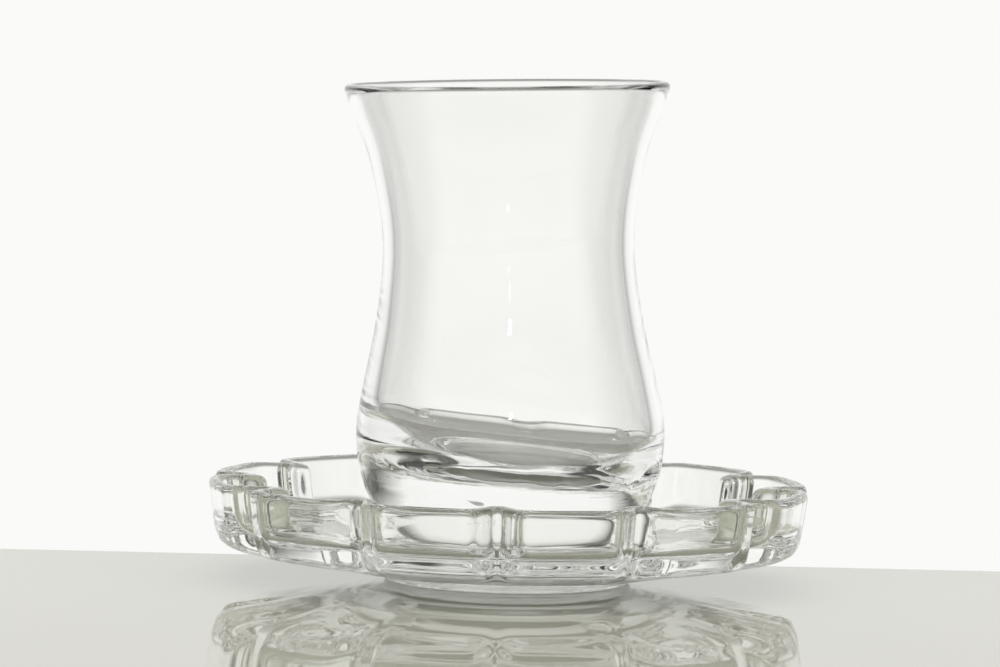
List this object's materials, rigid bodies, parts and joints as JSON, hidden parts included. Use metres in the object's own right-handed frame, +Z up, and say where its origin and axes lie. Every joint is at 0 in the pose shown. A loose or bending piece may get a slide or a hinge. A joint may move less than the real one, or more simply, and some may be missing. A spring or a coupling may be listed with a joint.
{
  "type": "turkish tea glass",
  "caption": "Empty clear tea glass with a waist, a flared rim and a thick base, standing in its pressed-glass petal saucer.",
  "frame": {"origin": "on the table, under the axis of the glass and the saucer", "axes": "+Z up along the axis of the glass, -Y towards the front of the pair, +X to the right seen from the front"},
  "size_m": [0.1144, 0.1144, 0.0958],
  "materials": {
    "clear_glass": "clear and fire-polished",
    "pressed_glass": "clear pressed glass, glossy"
  },
  "bodies": {
    "root": {"glass": "clear_glass", "saucer": "pressed_glass"}
  },
  "joints": []
}
